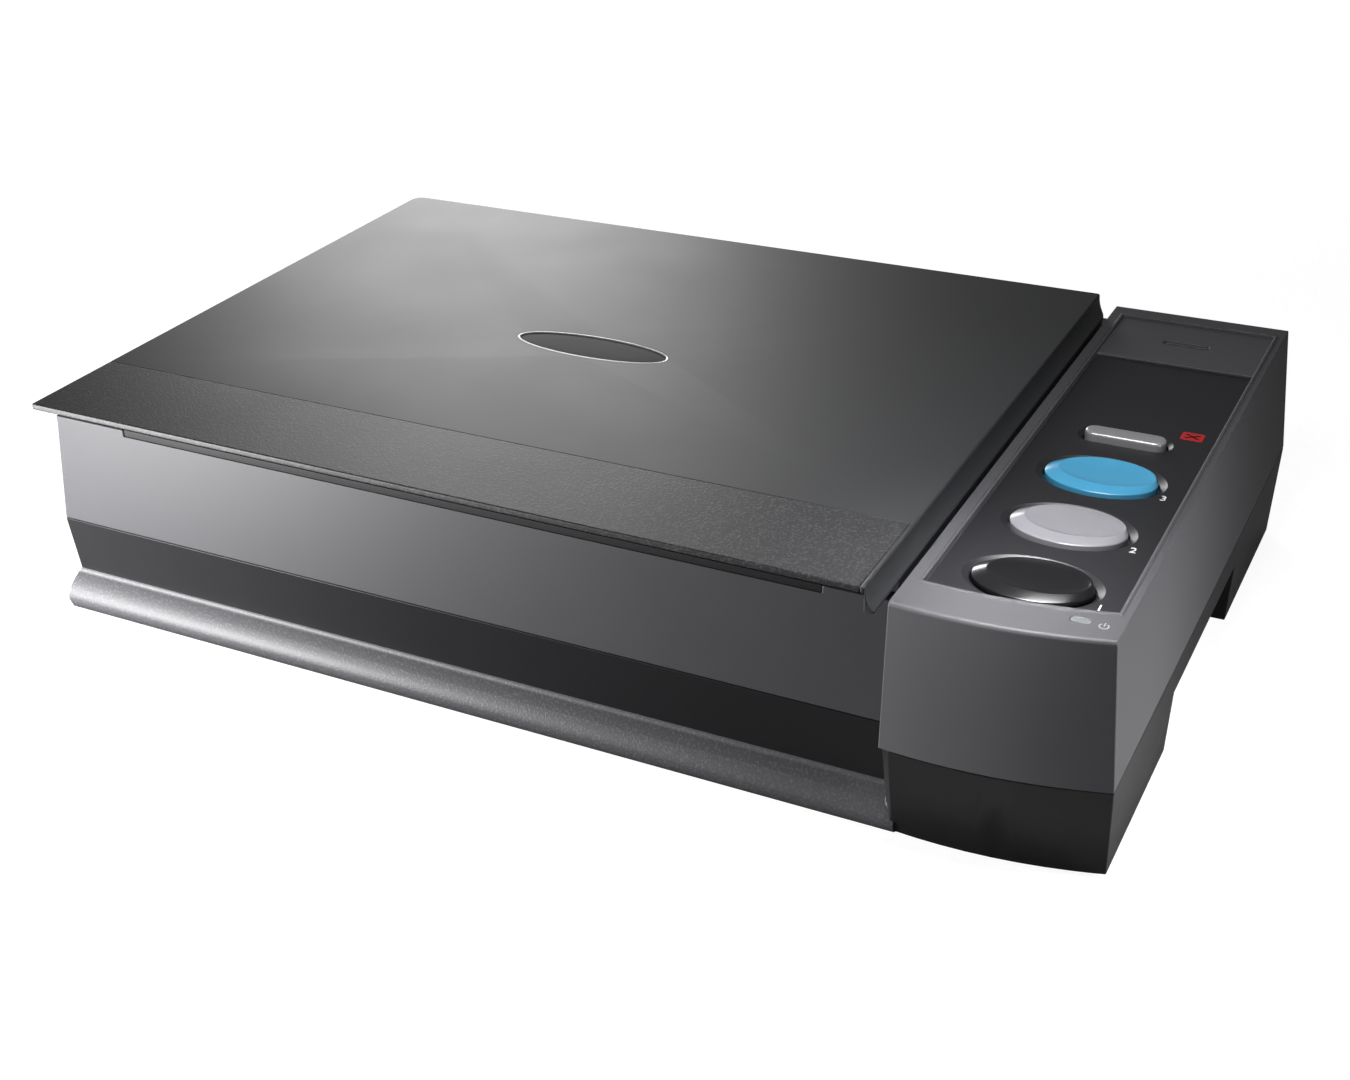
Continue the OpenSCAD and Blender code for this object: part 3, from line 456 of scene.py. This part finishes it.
# cast acrylic, slightly milky so that it scatters the lamp below it
milky_acrylic, tree, shader, place = principled(
    "milky acrylic", "#77797c", **{"Roughness": 0.25, "IOR": 1.49, "Transmission Weight": 0.3})
swirl = add(tree, "ShaderNodeTexNoise", {"Vector": place, "Scale": 900.0, "Detail": 1.0})
relief = add(tree, "ShaderNodeBump", {"Height": swirl.outputs["Fac"], "Distance": 0.00001})
tree.links.new(relief.outputs["Normal"], shader.inputs["Normal"])
dress("status_lens", milky_acrylic, 0.3)


# ---- Scan buttons ----
# Three oval caps with a sloping edge and a dish set towards the back right, each with its
# flange and stem moulded on. Glossy ABS; the blue one is the start button.

def glossy(name, colour, roughness=0.2):
    # gloss ABS: polished mould, with the slight waviness of a moulded skin
    material, tree, shader, place = principled(
        name, colour, **{"Roughness": roughness, "IOR": 1.52, "Coat Weight": 0.3,
                         "Coat Roughness": 0.08})
    waves = add(tree, "ShaderNodeTexNoise", {"Vector": place, "Scale": 90.0, "Detail": 1.0})
    base = linear(colour)
    depth = add(tree, "ShaderNodeMix", {
        0: waves.outputs["Fac"], 6: tuple(c * 0.93 for c in base[:3]) + (1.0,),
        7: tuple(min(1.0, c * 1.07) for c in base[:3]) + (1.0,)}, data_type="RGBA")
    tree.links.new(depth.outputs[2], shader.inputs["Base Color"])
    relief = add(tree, "ShaderNodeBump", {"Height": waves.outputs["Fac"],
                                          "Distance": 0.00003})
    tree.links.new(relief.outputs["Normal"], shader.inputs["Normal"])
    return material


button_finish = {"blue": glossy("blue gloss ABS", "#4592b8"),
                 "gray": glossy("grey gloss ABS", "#807f84"),
                 "black": glossy("black gloss ABS", "#121214")}

stem_foot = 84.15       # the CAD stems start at 87.1, so these reach 2.95 mm too low
flange_low, flange_top = 88.5, 90

for colour, y in button_y.items():
    at = (button_x, y)
    dish = (button_x + 1.6, y + 1.5)
    a, b = button_a, button_b
    cap_rings = [
        oval(at, 3, 3, stem_foot), oval(at, 3, 3, flange_low),
        oval(at, a + 1.8, b + 1.8, flange_low), oval(at, a + 1.8, b + 1.8, flange_top),
        oval(at, a, b, flange_top), oval(at, a, b, 94.3),
        oval(at, a - 0.1, b - 0.1, 94.6), oval(at, a - 0.35, b - 0.35, 94.85),
        oval(dish, a - 2.9, b - 2.6, 96.1), oval(dish, a - 3.2, b - 2.9, 96.2),
        oval(dish, a - 3.6, b - 3.3, 96.1), oval(dish, a - 5, b - 4.4, 95.6),
        oval(dish, a * 0.55, b * 0.5, 95.1), oval(dish, a * 0.25, b * 0.22, 94.9),
        oval(dish, a * 0.05, b * 0.05, 94.88)]
    cap_piece = lofted("scan_button_" + colour, cap_rings, [button_finish[colour]])
    fit(cap_piece, {"blue": "blue", "gray": "light_gray", "black": "black"}[colour],
        "button_" + colour)


# ---- Cancel bar ----
# A slim bar with round ends, painted silver over ABS. Its top, at 96.9, is 0.5 mm above the
# CAD bar's.

# metallic lacquer: fine aluminium flake under a satin clear coat
silver_lacquer, tree, shader, place = principled(
    "silver lacquer", "#a9a8ac", **{"Metallic": 0.55, "Roughness": 0.34})
flake = add(tree, "ShaderNodeTexNoise", {"Vector": place, "Scale": 4000.0, "Detail": 1.0})
glint = add(tree, "ShaderNodeMapRange", {"Value": flake.outputs["Fac"], "To Min": 0.26,
                                         "To Max": 0.42})
tree.links.new(glint.outputs["Result"], shader.inputs["Roughness"])
at = (button_x, cancel_y)
bar = lofted("cancel_bar", [
    oval(at, 3, 3, stem_foot), oval(at, 3, 3, flange_low),
    stadium(at, 34.6, 11.6, flange_low), stadium(at, 34.6, 11.6, flange_top),
    stadium(at, 31, 8, flange_top), stadium(at, 31, 8, 95.6),
    stadium(at, 30.7, 7.7, 96.2), stadium(at, 30, 7, 96.65), stadium(at, 28.5, 5.5, 96.85),
    stadium(at, 25, 2, 96.9)], [silver_lacquer])
fit(bar, "silver", "button_cancel")


# ---- Bottom of the case ----
# Rubber feet pressed into the floor, and the screws that hold the halves together.

# soft rubber
rubber = moulded("black rubber", "#161616", 0.8, 0.5, 0.01, specular=0.3)
dress("rubber_feet", rubber, 0.5)

# zinc-plated steel: bright, with the fine lines of drawing or rolling, about 0.45 mm apart
steel, tree, shader, place = principled(
    "zinc-plated steel", "#b4b5b8", **{"Metallic": 1.0, "Roughness": 0.3})
streak = add(tree, "ShaderNodeMapping", {"Vector": place, "Scale": (60.0, 2200.0, 2200.0)})
lines = add(tree, "ShaderNodeTexNoise", {"Vector": streak.outputs["Vector"], "Scale": 1.0,
                                         "Detail": 3.0})
polish = add(tree, "ShaderNodeMapRange", {"Value": lines.outputs["Fac"], "To Min": 0.18,
                                          "To Max": 0.42})
tree.links.new(polish.outputs["Result"], shader.inputs["Roughness"])
for node in ("case_screws", "board_screws", "guide_rod", "support_rail", "motor_bracket",
             "gear_axle", "idler_bracket", "idler_axle", "lid_screws", "hinge_pins"):
    dress(node, steel, 0.15)
dress("rod_holders", dull_inner_abs, 0.3)


# ---- Boards and sockets ----
# Two circuit boards with their parts, and the sockets and switch that face out at the back.

# solder mask over copper: dark green, paler over the tracks, which run 1.3 mm apart
board_mask, tree, shader, place = principled(
    "green solder mask", "#14502e", **{"Roughness": 0.3, "IOR": 1.5})
tracks = add(tree, "ShaderNodeTexBrick", {
    "Vector": place, "Color1": linear("#14502e"), "Color2": linear("#11472a"),
    "Mortar": linear("#2b7a4c"), "Scale": 380.0, "Mortar Size": 0.06})
tree.links.new(tracks.outputs["Color"], shader.inputs["Base Color"])
for node in ("main_board", "socket_board", "button_board", "sensor_board"):
    dress(node, board_mask, 0.1)
dress("tact_switches", steel, 0.15)
dress("usb_socket", steel, 0.2)
dress("power_jack", dull_inner_abs, 0.3)
dress("switch_housing", satin_black_abs, 0.4)

# glossy black thermoplastic of the rocker
dress("power_rocker", glossy("rocker gloss black", "#1b1b1d", 0.25), 0.4)


# ---- Drive ----
# A stepper motor turns the gear and belt pulley, and the belt pulls the carriage along.

# moulded reinforced rubber, ribbed across at a 2 mm pitch by the belt's teeth
belt_rubber, tree, shader, place = principled(
    "belt rubber", "#171717", **{"Roughness": 0.7})
ribs = add(tree, "ShaderNodeTexWave", {"Vector": place, "Scale": 157.0},
           bands_direction="X")
relief = add(tree, "ShaderNodeBump", {"Height": ribs.outputs["Fac"], "Distance": 0.0004})
tree.links.new(relief.outputs["Normal"], shader.inputs["Normal"])
dress("drive_belt", belt_rubber)
dress("drive_motor", steel, 0.6)

# acetal: waxy ivory, lets a little light in
acetal = moulded("ivory acetal", "#e3dccb", 0.32, 0.6, 0.004, cloud=0.02)
acetal.node_tree.nodes["Principled BSDF"].inputs["Subsurface Weight"].default_value = 0.2
acetal.node_tree.nodes["Principled BSDF"].inputs["Subsurface Scale"].default_value = 0.001
for node in ("drive_gear", "idler_pulley", "glide_shoe"):
    dress(node, acetal, 0.1)

# brass, turned: yellow metal with fine rings
brass, tree, shader, place = principled(
    "turned brass", "#c9a35a", **{"Metallic": 1.0, "Roughness": 0.28})
rings = add(tree, "ShaderNodeTexNoise", {"Vector": place, "Scale": 2500.0, "Detail": 1.0})
polish = add(tree, "ShaderNodeMapRange", {"Value": rings.outputs["Fac"], "To Min": 0.2,
                                          "To Max": 0.38})
tree.links.new(polish.outputs["Result"], shader.inputs["Roughness"])
for node in ("motor_pinion", "rod_bushings"):
    dress(node, brass, 0.1)


# ---- Belt spring ----
# A close-wound steel spring of 0.5 mm wire that pulls the idler plate tight.

def coil(name, start, radius, pitch, turns, wire, material, steps=20, sides=8):
    """A helix along +X from start, in mm."""
    mesh = bmesh.new()
    rings = []
    for i in range(int(steps * turns) + 1):
        turn = math.tau * i / steps
        outward = Vector((0, math.cos(turn), math.sin(turn)))
        middle = Vector(start) + Vector((wire + pitch * i / steps, 0, 0)) + outward * radius
        rings.append([middle + outward * wire * math.cos(math.tau * k / sides)
                      + Vector((wire * math.sin(math.tau * k / sides), 0, 0))
                      for k in range(sides)])
    skin(mesh, rings, closed=True)
    bmesh.ops.recalc_face_normals(mesh, faces=mesh.faces)
    return new_piece(mesh, name, [material])


fit(coil("belt_spring", (-215.0, 105.0, 8.0), 1.6, 0.56, 6.2, 0.25, steel), "steel",
    "tension_spring")


# ---- Flat cable ----
# A flexible flat cable, white polyester with its conductors as faint lines. One end lies on
# the floor and goes into the bay; the other ends under the carriage.

# polyester film over tinned strips 1 mm apart
flat_film, tree, shader, place = principled(
    "white polyester film", "#e6e6e4", **{"Roughness": 0.35, "IOR": 1.57})
strips = add(tree, "ShaderNodeTexWave", {"Vector": place, "Scale": 314.0},
             bands_direction="Y")
shade = add(tree, "ShaderNodeMix", {0: strips.outputs["Fac"], 6: linear("#cfd0d0"),
                                    7: linear("#f0f0ee")}, data_type="RGBA")
tree.links.new(shade.outputs[2], shader.inputs["Base Color"])


def cable():
    """The ribbon along its path, given as x and z in mm: down from the board, along the
    floor, round the loop and back under the carriage."""
    riser_x, run_start, run, floor_z = 153.4, 150.0, 338.5, 4.2
    loop_x, loop_z, loop_radius = -188.5, 14.0, 9.8
    path = [(riser_x, 30.6), (riser_x, 20.0), (riser_x, 8.0), (153.3, 5.2), (152.3, 4.3),
            (run_start, floor_z)]
    path += [(run_start - run * i / 40, floor_z) for i in range(1, 41)]
    path += [(loop_x - loop_radius * math.sin(math.pi * i / 24),
              loop_z - loop_radius * math.cos(math.pi * i / 24)) for i in range(1, 25)]
    path += [(-184.0, 23.8), (-179.0, 23.8), (-174.5, 23.8)]
    mesh = bmesh.new()
    rings = []
    for i, (x, z) in enumerate(path):
        before, after = path[max(i - 1, 0)], path[min(i + 1, len(path) - 1)]
        along = Vector((after[0] - before[0], after[1] - before[1])).normalized() * 0.18
        rings.append([(x - along.y, -65.5, z + along.x), (x - along.y, -49.5, z + along.x),
                      (x + along.y, -49.5, z - along.x), (x + along.y, -65.5, z - along.x)])
    skin(mesh, rings, closed=True)
    bmesh.ops.recalc_face_normals(mesh, faces=mesh.faces)
    return new_piece(mesh, "ribbon_cable", [flat_film])


ribbon = cable()
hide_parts("flat_cable")
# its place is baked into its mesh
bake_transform(ribbon)


# ---- Carriage ----
# An open box with the lamp, three mirrors, the lens and the line sensor, riding on the rod.

for node in ("carriage_housing", "bearing_blocks", "belt_clamp", "lens"):
    dress(node, dull_inner_abs, 0.3)
dress("carriage_cover", dull_inner_abs, 0.2)

# opal lamp tube: soft white
dress("light_bar", moulded("opal lamp cover", "#f0f0ea", 0.25, 0.6, 0.002, cloud=0.01), 0.2)

# front-silvered mirror glass
mirror, tree, shader, place = principled(
    "silvered mirror", "#e8ecec", **{"Metallic": 1.0, "Roughness": 0.03})
dust = add(tree, "ShaderNodeTexNoise", {"Vector": place, "Scale": 200.0, "Detail": 3.0})
dim = add(tree, "ShaderNodeMapRange", {"Value": dust.outputs["Fac"], "To Min": 0.01,
                                       "To Max": 0.08})
tree.links.new(dim.outputs["Result"], shader.inputs["Roughness"])
dress("mirrors", mirror)


# ---- Hinge ----
# Steel posts that slide up out of the deck, pins through their heads, and lugs on the lid.

dress("hinge_posts", steel, 0.4)
dress("hinge_ears", dull_inner_abs, 0.3)


# ---- Lid ----
# A deep cover moulded in satin dark ABS. At its front sits the grained flap that the fingers
# lift it by, and its right-hand side falls away in a hollow curve.

# satin ABS of the cover: smoother than the case, so that it mirrors a broad soft sheen
satin_lid_abs = moulded("satin dark ABS", "#242527", 0.5, 0.5, 0.004, specular=0.4)
# coarse-grained ABS of the flap: grains of 0.6 mm, their tops painted pale as a painted highlight
grain_and_glint_flap_abs = moulded("grained ABS", "#19191c", 0.5, 0.6, 0.035, crest_glint_paint=0.05,
                           specular=0.35, crests=(0.5, 0.66))

lid_cover = moulding("lid_cover", "lid_top", [satin_lid_abs], (
    0.5, lambda p: p.z > 90.7 and (p.x < -210 or p.x > 141.7 or p.y > 130 or p.y < -118.5)
    and abs(p.y + 96.5) > 0.5))
fit(lid_cover, "dark_abs", "lid_cover")
flap = moulding("lid_flap", "grip_flap", [grain_and_glint_flap_abs], (0.6, lambda p: True))
fit(flap, "grain_abs", "lid_flap")

dress("lid_tray", matt_gray_abs, 0.3)
# open-cell foam behind the white sheet: cells of 0.6 mm
foam = moulded("pale foam", "#c6c6c0", 0.95, 0.6, 0.15, cloud=0.1, specular=0.2)
dress("pad_foam", foam)
# white pressure sheet, satin polyester
dress("pad_sheet", moulded("white pressure sheet", "#f1f1ee", 0.45, 0.8, 0.004, cloud=0.01),
      0.15)


# ---- Badge ----
# An oval plate let into the lid: a bare black field inside a thin silver rim.

# matt black enamel, printed on the plate
badge_enamel = moulded("matt black enamel", "#151517", 0.6, 0.4, 0.003, specular=0.15)
badge = (-32.0, -5.75)
rim = bmesh.new()
skin(rim, [oval(badge, 35.5, 11.005, 104.2), oval(badge, 35.5, 11.005, 104.8),
           oval(badge, 35.3, 10.8, 104.95), oval(badge, 34.8, 10.3, 105.0),
           oval(badge, 34.35, 9.85, 104.92), oval(badge, 34.1, 9.605, 104.7),
           oval(badge, 34.1, 9.605, 104.2), oval(badge, 35.5, 11.005, 104.2)])
bmesh.ops.remove_doubles(rim, verts=rim.verts, dist=1e-6)
bmesh.ops.recalc_face_normals(rim, faces=rim.faces)
fit(new_piece(rim, "badge_ring", [silver_lacquer]), "silver", "badge_rim")
plate = lofted("badge_field", [
    oval(badge, 34.05, 9.555, 104.2), oval(badge, 34.05, 9.555, 104.55),
    oval(badge, 30, 8.2, 104.66), oval(badge, 20, 5.4, 104.72), oval(badge, 4, 1, 104.74)],
    [badge_enamel])
fit(plate, "black", "badge_plate")


# ---- Floor, lights and camera ----
# A pale floor that runs out to white, and six soft lights: a large one behind at the left,
# two low ones in front at the left, two small ones over the buttons, and a weak one at the
# right.

floor_mesh = bmesh.new()
bmesh.ops.create_grid(floor_mesh, x_segments=8, y_segments=8, size=8.0)
white_floor, tree, shader, place = principled("pale floor", "#dedede", Roughness=0.9)
tree.nodes.remove(shader)
paths = add(tree, "ShaderNodeLightPath")
seen = add(tree, "ShaderNodeMath", {0: paths.outputs["Is Camera Ray"],
                                    1: paths.outputs["Is Transmission Ray"]},
           operation="MAXIMUM")
lift = add(tree, "ShaderNodeMath", {0: seen.outputs[0], 1: 0.9}, operation="MULTIPLY")
lift = add(tree, "ShaderNodeMath", {0: paths.outputs["Is Glossy Ray"], 1: 0.05,
                                    2: lift.outputs[0]}, operation="MULTIPLY_ADD")
speck = add(tree, "ShaderNodeTexNoise", {"Vector": place, "Scale": 300.0})
tone = add(tree, "ShaderNodeMix", {0: speck.outputs["Fac"], 6: linear("#7c7c7c"),
                                   7: linear("#adadad")}, data_type="RGBA")
matt = add(tree, "ShaderNodeBsdfDiffuse", {"Color": tone.outputs[2]})
glow = add(tree, "ShaderNodeEmission", {"Strength": lift.outputs[0]})
both = add(tree, "ShaderNodeAddShader", {0: matt.outputs[0], 1: glow.outputs[0]})
tree.links.new(both.outputs[0], tree.nodes["Material Output"].inputs["Surface"])
floor = new_piece(floor_mesh, "floor", [white_floor])

world = bpy.data.worlds.new("studio")
bpy.context.scene.world = world
world.use_nodes = True
sky = world.node_tree
paths = add(sky, "ShaderNodeLightPath")
seen = add(sky, "ShaderNodeMath", {0: paths.outputs["Is Camera Ray"],
                                   1: paths.outputs["Is Transmission Ray"]},
           operation="MAXIMUM")
strength = add(sky, "ShaderNodeMapRange", {"Value": seen.outputs[0], "To Min": 0.1,
                                           "To Max": 1.0})
sky.nodes["Background"].inputs["Color"].default_value = (1.0, 1.0, 1.0, 1.0)
sky.links.new(strength.outputs["Result"], sky.nodes["Background"].inputs["Strength"])


def softbox(name, at, aim, size, power, spread=180):
    """A square soft light, its place and aim in metres and its power in watts. spread is the
    angle its grid lets the light out at."""
    lamp = bpy.data.lights.new(name, "AREA")
    lamp.size = size
    lamp.energy = power
    lamp.spread = math.radians(spread)
    holder = bpy.data.objects.new(name, lamp)
    bpy.context.scene.collection.objects.link(holder)
    holder.location = at
    holder.rotation_euler = (Vector(aim) - Vector(at)).to_track_quat("-Z", "Y").to_euler()
    holder.visible_camera = False


softbox("back_left", (-1.05, 1.42, 0.56), (-0.1, 0.0, 0.1), 0.6, 13.5)
softbox("near_left", (-0.32, -0.38, 0.05), (-0.2, -0.14, 0.06), 0.12, 3.6)
softbox("far_left", (-0.7, -0.32, 0.08), (0.15, -0.15, 0.06), 0.13, 9)
softbox("overhead", (0.18, -0.11, 0.29), (0.19, -0.07, 0.1), 0.1, 0.62)
softbox("over_buttons", (0.17, -0.14, 0.3), (0.18, -0.12, 0.1), 0.05, 0.07, 42)
softbox("right", (0.35, -0.08, 0.08), (0.226, -0.1, 0.04), 0.06, 0.32)

camera_place = (0.3278, -0.6169, 0.4050)
focal_length = 49.22
azimuth, elevation, roll = (math.radians(a) for a in (27.95, 29.01, -2.08))
back = Vector((math.sin(azimuth) * math.cos(elevation),
               -math.cos(azimuth) * math.cos(elevation), math.sin(elevation)))
right = Vector((math.cos(azimuth), math.sin(azimuth), 0))
up = back.cross(right)
level = (right * math.cos(roll) + up * math.sin(roll),
         up * math.cos(roll) - right * math.sin(roll), back)
camera_data = bpy.data.cameras.new("camera")
camera_data.sensor_width = 36.0
camera_data.lens = focal_length
camera = bpy.data.objects.new("camera", camera_data)
bpy.context.scene.collection.objects.link(camera)
camera.matrix_world = (Matrix.Translation(camera_place)
                       @ Matrix(level).transposed().to_4x4())
bpy.context.scene.camera = camera
bpy.context.scene.view_settings.view_transform = "Standard"
